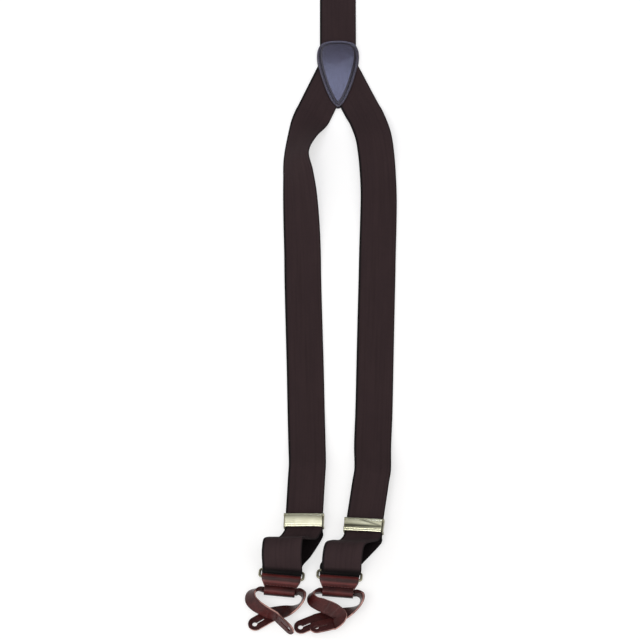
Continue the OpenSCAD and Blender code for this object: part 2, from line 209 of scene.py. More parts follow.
# the first is small and low, so that only the patch mirrors it
softbox("key", (0.0, 0.192, 0.411), (0, -0.021, 0.011), (0.175, 0.102), 0.215, (0.72, 0.79, 1.0), 6)
softbox("front", (-1.3, -2.2, 3.0), (0, -0.4, 0), (1.6, 1.2), 30, (1.0, 0.985, 0.965))


# ---------------------------------------------------------------- materials
RIB_PITCH = 0.0008
PICK_PITCH = 0.0011


def webbing():
    """Ribbed weave; u runs across the webbing from 0 to its width and v along it, in metres."""
    m, nt, sh = material("webbing", rough=0.85, spec=0.05, sheen=0.02)
    sh.inputs["Sheen Roughness"].default_value = 0.5
    uv = node(nt, "SeparateXYZ", node(nt, "TexCoord").outputs["UV"])
    u, v = uv.outputs[0], uv.outputs[1]
    rib_at = calc(nt, "MULTIPLY", u, 1 / RIB_PITCH)
    col = calc(nt, "FLOOR", rib_at)
    rib = calc(nt, "ABSOLUTE", calc(nt, "SINE", calc(nt, "MULTIPLY", rib_at, math.pi)))
    pick_at = calc(nt, "MULTIPLY_ADD", v, 1 / PICK_PITCH, calc(nt, "MULTIPLY", col, 0.5))
    pick = calc(nt, "ABSOLUTE", calc(nt, "SINE", calc(nt, "MULTIPLY", pick_at, math.pi)))
    height = calc(nt, "MULTIPLY", rib, calc(nt, "MULTIPLY_ADD", pick, 0.5, 0.5))
    place = node(nt, "CombineXYZ", u, v).outputs[0]
    yarn = node(nt, "TexWhiteNoise", None, col, noise_dimensions="1D").outputs[0]
    fibre = fuzz(nt, stretched(nt, place, 9000, 700, 1), 1.0, 2.0)
    patchy = fuzz(nt, stretched(nt, place, 60, 22, 1), 1.0, 3.0)
    streak = fuzz(nt, stretched(nt, place, 420, 9, 1), 1.0, 2.0)
    high = fit(nt, height, 0.1, 0.8, 0.0, 1.0)
    base = mix(nt, high, (0.016, 0.0095, 0.0105), (0.037, 0.0225, 0.0245))
    base = mix(nt, fit(nt, yarn, 0.0, 1.0, 0.0, 0.3), base, (0.026, 0.0175, 0.02))
    base = mix(nt, fit(nt, fibre, 0.35, 0.75, 0.0, 0.35), base, (0.055, 0.036, 0.038))
    base = mix(nt, fit(nt, patchy, 0.35, 0.7, 0.0, 0.35), base, (0.042, 0.026, 0.027))
    base = mix(nt, fit(nt, streak, 0.45, 0.7, 0.0, 0.3), base, (0.019, 0.012, 0.013))
    rims = calc(nt, "MAXIMUM", fit(nt, u, 0.0011, 0.0032, 0.9, 0.0, True),
                fit(nt, u, 0.0365, 0.0374, 0.0, 0.6, True))
    base = mix(nt, rims, base, (0.005, 0.0055, 0.006))
    # painted shade: the mesh's "soil" values darken the webbing where it lies in shadow
    painted_shading = node(nt, "Attribute", attribute_name="painted_shading").outputs["Fac"]
    base = mix(nt, painted_shading, base, (0.0035, 0.003, 0.0033))
    nt.links.new(base, sh.inputs["Base Color"])
    nt.links.new(fit(nt, height, 0.0, 1.0, 0.95, 0.72), sh.inputs["Roughness"])
    tall = calc(nt, "MULTIPLY_ADD", fibre, 0.25, height)
    nt.links.new(bumped(nt, tall, 0.5, 0.0003), sh.inputs["Normal"])
    return m


def leather(name, low, high, cut, rough, coat, coat_rough, grain, depth, spec, glint=(1, 1, 1)):
    """Grained leather with a pale cut edge.

    The mesh says where the leather is cut ("edge"), and gives its painted shade or, below zero, its painted
    light ("soil").
    """
    m, nt, sh = material(name, rough=rough, spec=spec, coat=coat, coat_rough=coat_rough)
    sh.inputs["Specular Tint"].default_value = (*glint, 1)
    pos = node(nt, "TexCoord").outputs["Object"]
    cells = node(nt, "TexVoronoi", pos, None, grain, feature="DISTANCE_TO_EDGE").outputs[0]
    pores = fit(nt, cells, 0.0, 0.22, 0.0, 1.0, True)
    cloudy = fuzz(nt, pos, 75.0, 4.0, 0.6)
    creases = fuzz(nt, stretched(nt, pos, 1, 2.6, 1), 210.0, 4.0, 0.65)
    fine = fuzz(nt, pos, 2600.0, 2.0)
    base = mix(nt, fit(nt, cloudy, 0.3, 0.7, 0.0, 1.0), low, high)
    base = mix(nt, fit(nt, pores, 0.0, 1.0, 0.35, 0.0), base, tuple(0.4 * c for c in low))
    rubbed = fit(nt, creases, 0.55, 0.75, 0.0, 0.35)
    base = mix(nt, rubbed, base, tuple(min(1.0, 1.7 * c) for c in high))
    raw = mix(nt, fuzz(nt, pos, 1500.0, 3.0), cut, tuple(0.6 * c for c in cut))
    edge = node(nt, "Attribute", attribute_name="edge").outputs["Fac"]
    painted_shading = node(nt, "Attribute", attribute_name="painted_shading").outputs["Fac"]
    # painted shade where "soil" is above zero, painted light where it is below zero
    base = mix(nt, fit(nt, painted_shading, 0.0, 1.0, 0.0, 0.8), base, tuple(0.25 * c for c in low))
    painted_light = fit(nt, painted_shading, -1.0, 0.0, 0.45, 0.0)
    base = mix(nt, painted_light, base, tuple(min(1.0, 2.6 * c) for c in high))
    # the pale cut edge, which on the ears also holds a painted light on the raised edge
    raw_edge_and_painted_light = calc(nt, "MULTIPLY_ADD", fit(nt, fuzz(nt, pos, 400.0), 0.3, 0.7, -0.2, 0.2), 1.0, edge)
    dyed = fit(nt, fuzz(nt, pos, 55.0, 2.0), 0.42, 0.58, 0.25, 1.0, True)
    bare_edge_and_painted_light = calc(nt, "MULTIPLY", fit(nt, raw_edge_and_painted_light, 0.4, 0.75, 0.0, 1.0, True), dyed)
    nt.links.new(mix(nt, bare_edge_and_painted_light, base, raw), sh.inputs["Base Color"])
    soft = fit(nt, fine, 0.3, 0.7, rough - 0.06, rough + 0.08)
    nt.links.new(calc(nt, "MULTIPLY_ADD", edge, 0.35, soft), sh.inputs["Roughness"])
    tall = calc(nt, "MULTIPLY_ADD", creases, 1.1, calc(nt, "MULTIPLY_ADD", fine, 0.25, pores))
    nt.links.new(bumped(nt, tall, 0.5, depth), sh.inputs["Normal"])
    return m


def metal(name, tint, rough, spots):
    """Brushed metal with a haze of spots, darkened by a painted reflection where the mesh's "soil" says so.
    """
    m, nt, sh = material(name, rough=rough, metal=1.0)
    pos = node(nt, "TexCoord").outputs["Object"]
    lines = fuzz(nt, stretched(nt, pos, 60, 2600, 2600), 1.0, 3.0)
    haze = fuzz(nt, pos, 130.0, 3.0)
    base = mix(nt, fit(nt, haze, 0.35, 0.75, 0.0, 0.5), tint, spots)
    # painted reflection: the mesh's "soil" values darken the metal's colour
    painted_shading = node(nt, "Attribute", attribute_name="painted_shading").outputs["Fac"]
    nt.links.new(mix(nt, painted_shading, base, tuple(0.1 * c for c in spots)), sh.inputs["Base Color"])
    dull = fit(nt, haze, 0.3, 0.7, rough - 0.03, rough + 0.06)
    wear = calc(nt, "MULTIPLY_ADD", fit(nt, lines, 0.3, 0.7, -0.05, 0.07), 1.0, dull)
    nt.links.new(wear, sh.inputs["Roughness"])
    nt.links.new(bumped(nt, lines, 0.12, 0.00003), sh.inputs["Normal"])
    return m


def yarn(name, low, high):
    """Twisted sewing thread."""
    m, nt, sh = material(name, rough=0.6, spec=0.3, sheen=0.2)
    pos = node(nt, "TexCoord").outputs["Object"]
    twist = node(nt, "TexWave", pos, 1900.0, 2.0, bands_direction="DIAGONAL").outputs["Fac"]
    tone = mix(nt, fuzz(nt, pos, 500.0), low, high)
    groove = fit(nt, twist, 0.0, 1.0, 0.35, 0.0)
    nt.links.new(mix(nt, groove, tone, tuple(0.4 * c for c in low)), sh.inputs["Base Color"])
    nt.links.new(bumped(nt, twist, 0.5, 0.0001), sh.inputs["Normal"])
    return m


WEB = webbing()
PATCH = leather("patch_leather", (0.011, 0.0085, 0.012), (0.022, 0.016, 0.021), (0.02, 0.014, 0.015),
                rough=0.15, coat=0.2, coat_rough=0.08, grain=1100.0, depth=0.00003, spec=0.8,
                glint=(0.72, 0.74, 1.0))
OXBLOOD = leather("end_leather", (0.030, 0.0045, 0.0045), (0.082, 0.0145, 0.0135), (0.60, 0.34, 0.30),
                  rough=0.36, coat=0.15, coat_rough=0.15, grain=1000.0, depth=0.00012, spec=0.14)
BRASS = metal("brass", (0.86, 0.85, 0.64), 0.17, (0.78, 0.76, 0.52))
# a darker copy of the brass for the rings, frames, bars and pins: painted shade, so that they read as lying
# in shadow
SHADED_BRASS = metal("shaded_brass", (0.30, 0.285, 0.20), 0.3, (0.20, 0.18, 0.12))
DARK_THREAD = yarn("dark_thread", (0.018, 0.013, 0.015), (0.04, 0.03, 0.033))
RED_THREAD = yarn("red_thread", (0.16, 0.06, 0.055), (0.32, 0.15, 0.14))


# ---------------------------------------------------------------- shared geometry, in mm
WOVEN = 38.0  # the webbing's woven width
SPLINE_STEPS = 12  # points between two stops of a path


def cosd(a):
    return math.cos(math.radians(a))


def sind(a):
    return math.sin(math.radians(a))


def axes(seat):
    """A seat's origin and its x, y and z directions. A seat is (point, yaw, roll, pitch)."""
    c, yaw, roll, pitch = seat
    x = Vector((cosd(yaw) * cosd(roll), sind(yaw) * cosd(roll), sind(roll)))
    f = Vector((-sind(yaw), cosd(yaw), 0))
    z = x.cross(f)
    return Vector(c), x, f * cosd(pitch) + z * sind(pitch), z * cosd(pitch) - f * sind(pitch)


def put(seat, x, y, z):
    """A point given in a seat's own directions."""
    c, ax, ay, az = axes(seat)
    return c + ax * x + ay * y + az * z


def stops(line):
    """Rows of x, y, z, yaw, roll and width. A stop may be given in a seat: (seat, y, z, width)."""
    out = []
    for s in line:
        if isinstance(s[0], (int, float)):
            out.append(list(s))
        else:
            out.append([*put(s[0], 0, s[1], s[2]), s[0][1], s[0][2], s[3]])
    return np.array(out, float)


def spline(p, k):
    """A Catmull-Rom curve through p, with k points to each span."""
    n, out = len(p), []
    for i in range(n - 1):
        a, b, c, d = p[max(i - 1, 0)], p[i], p[i + 1], p[min(i + 2, n - 1)]
        for j in range(k):
            u = j / k
            out.append(0.5 * (2 * b + (c - a) * u + (2 * a - 5 * b + 4 * c - d) * u * u
                              + (3 * b - a - 3 * c + d) * u ** 3))
    out.append(p[-1])
    return np.array(out)


class Path:
    """A smooth line with a width direction: centre, across and up at any arc length."""

    def __init__(self, line, k=SPLINE_STEPS):
        p = spline(stops(line), k)
        self.c = p[:, :3]
        yaw, roll = np.radians(p[:, 3]), np.radians(p[:, 4])
        self.w = np.stack([np.cos(yaw) * np.cos(roll), np.sin(yaw) * np.cos(roll), np.sin(roll)], 1)
        t = np.gradient(self.c, axis=0)
        up = np.cross(t, self.w)
        self.up = up / np.linalg.norm(up, axis=1)[:, None]
        self.width = p[:, 5]
        step = np.linalg.norm(np.diff(self.c, axis=0), axis=1)
        self.s = np.concatenate([[0], np.cumsum(step)])
        self.length = float(self.s[-1])

    def at(self, s):
        s = np.clip(s, 0, self.length)
        pick = lambda a: np.stack([np.interp(s, self.s, a[:, i]) for i in range(3)], -1)
        c, w, up = pick(self.c), pick(self.w), pick(self.up)
        w /= np.linalg.norm(w, axis=-1, keepdims=True)
        up /= np.linalg.norm(up, axis=-1, keepdims=True)
        return c, w, up, np.interp(s, self.s, self.width)


def add_mesh(name, verts, faces, mat, uv=None, edge=None, painted_shading=None):
    """A smooth object from vertices in mm, with its UV, its "edge" values and its painted light and shade
    ("soil") by vertex.
    """
    me = bpy.data.meshes.new(name)
    me.from_pydata([tuple(float(c) * MM for c in v) for v in verts], [], faces)
    me.update()
    ob = bpy.data.objects.new(name, me)
    bpy.context.scene.collection.objects.link(ob)
    me.materials.append(mat)
    me.polygons.foreach_set("use_smooth", [True] * len(me.polygons))
    if uv is not None:
        layer = me.uv_layers.new(name="UVMap")
        loops = np.zeros(len(me.loops), np.int32)
        me.loops.foreach_get("vertex_index", loops)
        layer.data.foreach_set("uv", (np.asarray(uv, float)[loops] * MM).ravel())
    for key, values in (("edge", edge), ("painted_shading", painted_shading)):
        if values is not None:
            me.attributes.new(key, "FLOAT", "POINT").data.foreach_set("value", np.asarray(values, float))
    return ob


def tube_faces(rows, m):
    """Quads between successive rows of m vertices, each row a closed ring."""
    return [(i * m + j, i * m + (j + 1) % m, (i + 1) * m + (j + 1) % m, (i + 1) * m + j)
            for i in range(rows - 1) for j in range(m)]


def tube_caps(rows, m):
    """The first and the last ring of a tube as faces."""
    return [tuple(range(m)), tuple((rows - 1) * m + j for j in reversed(range(m)))]


def face_outwards(ob):
    bm = bmesh.new()
    bm.from_mesh(ob.data)
    bmesh.ops.recalc_face_normals(bm, faces=bm.faces[:])
    bm.to_mesh(ob.data)
    bm.free()


def add_bevel(ob, width, angle):
    """A narrow bevel on the edges sharper than angle degrees; width in metres."""
    bevel = ob.modifiers.new("bevel", "BEVEL")
    bevel.width = width
    bevel.segments = 2
    bevel.limit_method = "ANGLE"
    bevel.angle_limit = math.radians(angle)


def section(width, thick, across, corner):
    """Closed outline of a strip's cross-section as (a, h): flat faces and rounded edges."""
    half, r = thick / 2, min(corner, thick / 2)
    flat = width / 2 - r
    top = [(-flat + 2 * flat * i / across, half) for i in range(across + 1)]
    turn = [(flat + r * math.sin(q), (half - r) + r * math.cos(q))
            for q in (math.pi / 6, math.pi / 3, math.pi / 2)]
    right = turn + [(a, -h) for a, h in reversed(turn)]
    side = top + right
    return np.array(side + [(-a, -h) for a, h in side])


def strip(name, path, mat, thick=1.2, step=2.5, across=14, corner=0.45, ripple=0.0, start=0.0, end=None,
          painted_shading_at=None, trim=None, seed=0, shift=0.0, flip=1):
    """A strip of webbing or leather along a path, with rounded edges.

    ripple lifts its faces and edges unevenly, dirt gives its painted light and shade (the "soil" values) at
    (s, a), trim is a plane (point, normal) beyond which it is cut away, shift moves the weave along it, and
    flip mirrors the weave.
    """
    end = path.length if end is None else end
    n = max(2, int(math.ceil((end - start) / step)))
    s = np.linspace(start, end, n + 1)
    c, w, up, width = path.at(s)
    verts, uv, edge, painted_shading = [], [], [], []
    base = section(WOVEN, thick, across, corner)
    m = len(base)
    for i in range(n + 1):
        wd = float(width[i])
        sec = section(wd, thick, across, corner)
        window = min(1.0, 4.0 * min(i, n - i) / n)
        for j, (a, h) in enumerate(sec):
            lift = 0.0
            if ripple:
                q = noise.noise(Vector((s[i] / 34.0 + seed, a / 26.0, seed * 1.7)))
                lift = ripple * window * (0.55 + q) * (0.35 + 0.65 * abs(2 * a / wd) ** 2)
            verts.append(c[i] + w[i] * a + up[i] * (h + max(0.0, lift)))
            painted_shading.append(painted_shading_at(s[i], a) if painted_shading_at else 0.0)
            uv.append((flip * base[j][0] + WOVEN / 2, s[i] + shift))
            edge.append(1.0 - min(1.0, max(0.0, (abs(h) / (thick / 2) - 0.55) / 0.42)))
    ob = add_mesh(name, verts, tube_faces(n + 1, m) + tube_caps(n + 1, m), mat, uv, edge, painted_shading)
    bm = bmesh.new()
    bm.from_mesh(ob.data)
    for f in bm.faces:
        if len(f.verts) > 4:  # the cut ends
            f.smooth = False
            for e in f.edges:
                e.smooth = False
    if trim:
        point, normal = trim
        cut = bmesh.ops.bisect_plane(bm, geom=bm.verts[:] + bm.edges[:] + bm.faces[:],
                                     plane_co=Vector(point) * MM, plane_no=normal, clear_outer=True)
        rim = [e for e in cut["geom_cut"] if isinstance(e, bmesh.types.BMEdge)]
        bmesh.ops.contextual_create(bm, geom=rim)
    bmesh.ops.recalc_face_normals(bm, faces=bm.faces[:])
    bm.to_mesh(ob.data)
    bm.free()
    return ob


def beads(name, places, mat, length, wide, tall):
    """Stitches: small rounded lengths of thread. A place is (point, along, up)."""
    verts, faces = [], []
    sides = 8
    # along, radius and lift of each ring, in shares of the stitch's length, width and height
    rings = [(-0.5, 0.15, -0.5), (-0.42, 0.75, -0.1), (-0.2, 1.0, 0.1), (0.2, 1.0, 0.1),
             (0.42, 0.75, -0.1), (0.5, 0.15, -0.5)]
    for p, t, u in places:
        t, u = Vector(t).normalized(), Vector(u).normalized()
        b = t.cross(u).normalized()
        first = len(verts)
        for f, r, dz in rings:
            for q in range(sides):
                a = 2 * math.pi * q / sides
                verts.append(Vector(p) + t * f * length + b * math.cos(a) * r * wide / 2
                             + u * ((math.sin(a) * r + dz) * tall / 2))
        for i in range(len(rings) - 1):
            for q in range(sides):
                a, b2 = first + sides * i + q, first + sides * i + (q + 1) % sides
                faces.append((a, b2, b2 + sides, a + sides))
        faces.append(tuple(first + q for q in reversed(range(sides))))
        faces.append(tuple(first + sides * (len(rings) - 1) + q for q in range(sides)))
    return add_mesh(name, verts, faces, mat)


# ---------------------------------------------------------------- places, as in the CAD source, in mm
# seats of the adjusters, of the ring ends and of the ears' flat plates
adj_l = ((-35, -526.5, 8.4), -3, 6, 0)
adj_r = ((25.5, -532.5, 9.8), -8, 10, 0)
end_l = ((-57, -581, 3.5), -6, 0, 0)
end_r = ((1, -582, 3.5), -5, 0, 0)
end_b = ((0, 292, 3.5), 180, 0, 0)
plate_lf = ((-63, -635, 12.5), 44, 80, 0)
plate_lr = ((-68, -629.5, 2.2), -58, 5, 0)
plate_rf = ((-4, -641.5, 8.5), -76, 20, 0)
plate_rr = ((-21, -635, 2), -66, 4, 0)
plate_bf = ((16, 340, 2), 172, 0, 0)
plate_br = ((-16, 340, 2), 188, 0, 0)


def mouth(seat, side):
    """Where an ear leaves its tab's tunnel, on the side -1 or 1."""
    p = put(seat, side * 15.45, -23.5, 1.8)
    return [*p, seat[1] + side * 90, 80, 5]


# the webbing's lines: a stop is x, y, z, yaw, roll and width, or a place in a seat.
# The two pieces of a strap share the stops round the crease.
left_crease = [(-37, -215, 2, 1, 3, 38), (-36.5, -250, 0.8, 1, 0, 38), (-35.3, -300, 0.8, 1, 0, 38)]
right_crease = [(40.5, -215, 1, -2, 0, 38), (39.7, -250, 0.8, -2, 0, 38), (38.4, -300, 0.8, -2, 0, 38)]
left_upper = [
    (1, 10, 2.3, -23.6, 0, 38), (-6.5, -7, 2.3, -23.6, 0, 38), (-15.2, -27, 2.3, -23.6, 0, 38),
    (-23.8, -47, 2.3, -23.6, 0, 38), (-28, -57, 3.5, -23, 0, 38), (-37, -80, 9.5, -24, 30, 38),
    (-43.5, -108, 14.5, -8, 46, 38), (-41.5, -130, 11.8, 2, 36, 38), (-39.5, -155, 8.2, 3, 22, 38),
    (-38, -185, 4.6, 2, 10, 38), *left_crease]
left_lower = [
    *left_crease, (-34, -350, 0.8, 1, 0, 38), (-33, -400, 1, 1, 0, 38), (-32.2, -435, 3.5, 0, 3, 38),
    (adj_l, 64, 0, 38), (adj_l, 50, 0, 38), (adj_l, 36, 0, 38)]
left_slack = [
    (adj_l, -6.8, 0, 38), (adj_l, -11, 0.2, 38), (-41, -548, 12, -10, 12, 38),
    (-47.5, -551.5, 20, -14, 28, 38.5), (-53, -555.5, 28, -12, 22, 39), (-56, -560.5, 32, -9, 10, 40),
    (-57, -567.5, 31.5, -6, 4, 40), (-57.4, -574.5, 27, -5, 1, 40), (-57, -580, 19.5, -4, 0, 40),
    (-56.5, -583.5, 11.5, -4, 0, 40)]
right_upper = [
    (-1, 10, 2.3, 24.8, 0, 38), (7, -7, 2.3, 24.8, 0, 38), (16, -27, 2.3, 24.8, 0, 38),
    (25, -46.5, 2.3, 24.8, 0, 38), (30, -58, 4.5, 22, 0, 38), (36.5, -80, 8, 14, 0, 38),
    (39.5, -101, 7, 4, -4, 38), (41.2, -124, 5, 2, -8, 38), (42, -150, 4, 0, -8, 38),
    (41.5, -180, 2.5, -2, -4, 38), *right_crease]
right_lower = [
    *right_crease, (37.2, -350, 0.8, -1, 0, 38), (36, -400, 1, -3, 0, 38), (34.5, -440, 4.5, -5, 4, 38),
    (adj_r, 64, 0, 38), (adj_r, 50, 0, 38), (adj_r, 36, 0, 38)]
right_slack = [
    (adj_r, -6.8, 0, 38), (adj_r, -11, 0.2, 38), (22, -548.5, 11.5, -12, 14, 38),
    (17, -553.5, 16, -16, 26, 38.5), (11, -557, 21.5, -16, 22, 39), (6.5, -561, 25, -10, 10, 40),
    (4.5, -567, 25.5, -6, 4, 40), (3.4, -574, 22.5, -4, 1, 40), (2.8, -580, 17, -3, 0, 40),
    (2.5, -584, 10.5, -3, 0, 40)]


def turned_back(end, adj, middle):
    """The rest of a loop: round the ring, back under the hump and round the adjuster's bar."""
    return [(end, -2.35, 0.4, 40), (end, -2.9, -1.9, 40), (end, -1.5, -2.75, 40), (end, 0, -2.6, 40),
            (end, 9, -2.3, 40), middle, (adj, -17, -5.6, 38), (adj, -10, -5.3, 38), (adj, -7, -5.2, 38),
            (adj, -5.7, -4.7, 38), (adj, -5.15, -3.35, 38), (adj, -5.7, -2, 38), (adj, -7, -1.5, 38),
            (adj, -8.4, -1.9, 38), (adj, -10, -3.3, 38), (adj, -13, -3.9, 38), (adj, -17, -4.2, 38)]


back_line = [
    (0, 12, 2.3, 180, 0, 38), (0, 28, 2.3, 180, 0, 38), (0, 43, 2.3, 180, 0, 38), (0, 60, 1.6, 180, 0, 38),
    (0, 80, 0.8, 180, 0, 38), (0, 140, 0.8, 180, 0, 38), (0, 200, 0.8, 180, 0, 38), (0, 250, 1, 180, 0, 38),
    (0, 262, 2.2, 180, 0, 38), (end_b, 18, -1, 38), (end_b, 8, 0.6, 38), (end_b, 3, 1.9, 38),
    (end_b, 0, 2.2, 38), (end_b, -1.6, 1.6, 38), (end_b, -2.2, 0, 38), (end_b, -1.6, -1.6, 38),
    (end_b, 0, -2.2, 38), (end_b, 4, -2.5, 38), (end_b, 12, -2.7, 38), (end_b, 24, -2.8, 38)]


EAR_WIDTH = 15


def far(plate):
    """The straight end of an ear's line, along its plate."""
    return [(plate, y, 0, EAR_WIDTH) for y in (0, -3, -12, -19, -25.5)]


# each ear's body, the seat of its plate and its line from the tunnel to the plate
ears = {
    "left_ear_front": ("left_ears", plate_lf, [
        mouth(end_l, -1), (-80, -602.5, 6.5, -88, 70, 9), (-87, -607.5, 9.5, -46, 52, 14),
        (-88, -615.5, 11, 0, 48, 15), (-83, -623, 12.5, 30, 56, 15), (-74, -629.3, 13, 44, 70, 15)]),
    "left_ear_rear": ("left_ears", plate_lr, [
        mouth(end_l, 1), (-39.5, -605, 6, 78, 84, 8), (-35, -610, 8, 30, 80, 12),
        (-37, -618, 8.5, -26, 72, 14), (-44, -623.5, 7, -60, 50, 15), (-54, -626, 3.8, -76, 18, 15),
        (plate_lr, 4, 0, 15)]),
    "right_ear_front": ("right_ears", plate_rf, [
        mouth(end_r, -1), (-20, -604.5, 6.5, -88, 80, 8), (-27, -609.5, 9.5, -40, 66, 13),
        (-25.5, -617.5, 12, 10, 50, 15), (-17, -623, 13, 44, 42, 15), (-6, -628.5, 13.5, 44, 40, 15),
        (1.5, -635, 11.5, 0, 30, 15)]),
    "right_ear_rear": ("right_ears", plate_rr, [
        mouth(end_r, 1), (19, -606.8, 6, 80, 84, 8), (23.5, -611.5, 8, 30, 80, 12),
        (22, -619.5, 8.5, -22, 74, 14), (14.5, -625, 6.5, -58, 50, 15), (3, -629, 3.2, -72, 14, 15),
        (-9, -631.5, 2, -72, 5, 15)]),
    "back_ear_front": ("back_ears", plate_bf, [
        mouth(end_b, -1), (20, 316, 5.2, 96, 26, 8), (25, 320, 4.4, 130, 14, 12),
        (22.5, 330, 2.6, 170, 4, 15), (plate_bf, 2, 0, 15)]),
    "back_ear_rear": ("back_ears", plate_br, [
        mouth(end_b, 1), (-20, 316, 5.2, 264, 26, 8), (-25, 320, 4.4, 230, 14, 12),
        (-22.5, 330, 2.6, 190, 4, 15), (plate_br, 2, 0, 15)]),
}


# ---------------------------------------------------------------- webbing
SPLIT_Y = -232  # the two pieces of a strap meet here, inside the crease
BAR_END_Z = -5.5  # the sewn end's middle line, under the adjuster's seat
THREAD_SIZE = (2.2, 0.6, 0.5)  # length, width and height of a stitch in webbing
STITCH_XS = np.arange(-16.5, 17, 3.0)


def where(path, y):
    """Arc length at which a path that runs towards -Y passes y."""
    return float(np.interp(-y, -path.c[:, 1], path.s))


# pivot is the x of a strap's fold at the patch; inner is the direction of the patch's middle line,
# where the strap is trimmed so that the two straps don't cross inside the patch
for side, upper, lower, slack, adj, end, middle, inner, pivot in (
        ("left", left_upper, left_lower, left_slack, adj_l, end_l, (-47, -561, 2, -8, 2, 39), 1, -24),
        ("right", right_upper, right_lower, right_slack, adj_r, end_r, (12, -562, 2.6, -6, 3, 39), -1, 25)):
    # from inside the patch to the crease
    top = Path(upper)
    last = where(top, SPLIT_Y)
    ob = strip(f"{side}_webbing_top", top, WEB, ripple=0.35, end=last,
               trim=((-0.2 * inner, 0, 0), (inner, 0, 0)), seed=3 + pivot)
    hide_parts(f"{side}_strap_root", f"{side}_strap_upper")
    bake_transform(ob)
    # from the crease to the adjuster
    long = Path(lower)
    first = where(long, SPLIT_Y)
    ob = strip(f"{side}_webbing_long", long, WEB, ripple=0.3, start=first, seed=9 + pivot,
               shift=last - first)
    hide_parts(f"{side}_strap_lower")
    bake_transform(ob)
    # the run through the adjuster, which shortens as the adjuster slides up
    through = Path([(adj, 36, 0, 38), (adj, 20, 0, 38), (adj, 5, 0, 38), (adj, -6.4, 0, 38)])
    ob = strip(f"{side}_webbing_through", through, WEB, shift=last - first + long.length)
    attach(ob, f"{side}_lower")
    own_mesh(ob)
    # the hump, round the ring and back to the adjuster's bar
    loop = Path(slack + turned_back(end, adj, middle))
    # painted shade from the last stops of the hump onwards: the turn at the ring and the inner ply, which lie
    # in the hump's shadow
    bend = [float(loop.s[SPLINE_STEPS * i]) for i in range(len(slack) + 2)]
    loop_painted_shade = ([bend[8] + 0.45 * (bend[9] - bend[8]), bend[9], bend[10], bend[11]], [0, 0.85, 1, 0.85])
    ob = strip(f"{side}_webbing_loop", loop, WEB, step=1.3, shift=700,
               painted_shading_at=lambda s, a: float(np.interp(s, *loop_painted_shade)))
    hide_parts(f"{side}_loop")
    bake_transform(ob)
    # the webbing's end is sewn to itself below the bar
    rows = [(put(adj, x, y, BAR_END_Z - 0.35), axes(adj)[1], -axes(adj)[3])
            for y in (-12, -14.5) for x in STITCH_XS]
    ob = beads(f"{side}_bar_stitching", rows, DARK_THREAD, *THREAD_SIZE)
    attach(ob, f"{side}_adjuster")

# the back strap in one piece, from inside the patch to the sewn turn round its ring
path = Path(back_line)
ob = strip("back_webbing", path, WEB, step=2.0, flip=-1)
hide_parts("back_strap_root", "back_strap")
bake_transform(ob)
# two rows of stitches across the sewn end and a short one down each side
rows = [(x, y, Vector((1, 0, 0))) for y in (270, 279) for x in STITCH_XS]
rows += [(x, y, Vector((0, 1, 0))) for x in (-17, 17) for y in (273, 276)]
rows = [(Vector((x, y, float(np.interp(y, [262, 274, 284], [2.2, 2.5, 4.1])) + 0.75)), along,
         Vector((0, 0, 1))) for x, y, along in rows]
ob = beads("back_webbing_stitching", rows, DARK_THREAD, *THREAD_SIZE)
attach(ob, "back_strap")


# ---------------------------------------------------------------- patch
half = [(0, 37.3), (10, 36.4), (17, 33.4), (20.8, 27), (21.8, 18), (20.9, 8), (18.6, -3), (15.6, -14),
        (12, -25), (7.4, -35.5), (3.4, -41.3), (0, -43)]
shape = np.array(half + [(-x, y) for x, y in half[-2:0:-1]], float)
closed = np.concatenate([shape[-2:], shape, shape[:3]])
OUTLINE_STEPS = 10
outline = spline(closed, OUTLINE_STEPS)[2 * OUTLINE_STEPS:-2 * OUTLINE_STEPS][:len(shape) * OUTLINE_STEPS]
following = np.roll(outline, -1, 0)
UNDER = 3.0  # the lower face of the top ply
TOP = 4.8  # the upper face of its sewn rim
SEAM = 2.0  # distance of the thread from the outline
STITCH_PITCH = 2.9


def inset(p):
    """Distance from points p to the patch's outline."""
    d = following - outline
    t = np.clip(((p[:, None] - outline) * d).sum(2) / (d * d).sum(1), 0, 1)
    return np.linalg.norm(p[:, None] - (outline + t[..., None] * d), axis=2).min(1)


# rings of points from the outline, drawn in towards the centre: close together at the rim
fractions = [0, 0.004, 0.009, 0.016, 0.025]
fractions += [0.036 + 0.0125 * i for i in range(24)] + [0.36 + 0.045 * i for i in range(14)]
centre = np.array([0.0, 1.0])
verts, edge, painted_shading = [], [], []
n = len(outline)
for p in outline:
    verts.append((p[0], p[1], UNDER))
    edge.append(1)
    painted_shading.append(0)
for f in fractions:
    p = outline * (1 - f) + centre * f
    d = inset(p)
    # a rounded rim, the groove of the thread, the crease inside it, and the padded, crowned middle
    round_off = np.sqrt(np.clip(1 - (np.clip(1.0 - d, 0, 1)) ** 2, 0, 1)) - 1.0
    seam = -0.25 * np.exp(-((d - SEAM) / 0.35) ** 2)
    press = -0.55 * np.exp(-((d - 3.0) / 0.4) ** 2)
    t = np.clip((d - 2.9) / 2.0, 0, 1)
    pad = 0.75 * t * t * (3 - 2 * t)
    crown = 0.95 * t * np.clip((1 - (p[:, 0] / 26) ** 2) * (1 - ((p[:, 1] - 6) / 44) ** 2), 0, 1)
    z = TOP + round_off + seam + press + pad + crown
    for q, zz, dd in zip(p, z, d):
        lump = 0.05 * noise.noise(Vector((q[0] / 9, q[1] / 9, 4.0)))
        lump += 0.012 * noise.noise(Vector((q[0] / 3, q[1] / 3, 1.0)))
        verts.append((q[0], q[1], zz + lump * min(1.0, dd / 4)))
        edge.append(1.0 if dd < 0.15 else 0.0)
        # painted light and shade: a painted highlight along the rounded rim, painted shade in the thread's
        # groove and in the crease inside it
        painted_shading.append(float(np.interp(dd, [0.3, 0.8, 1.5, 2.1, 3.2, 4.2], [0.2, -1, -1, 0.4, 0.7, 0])))
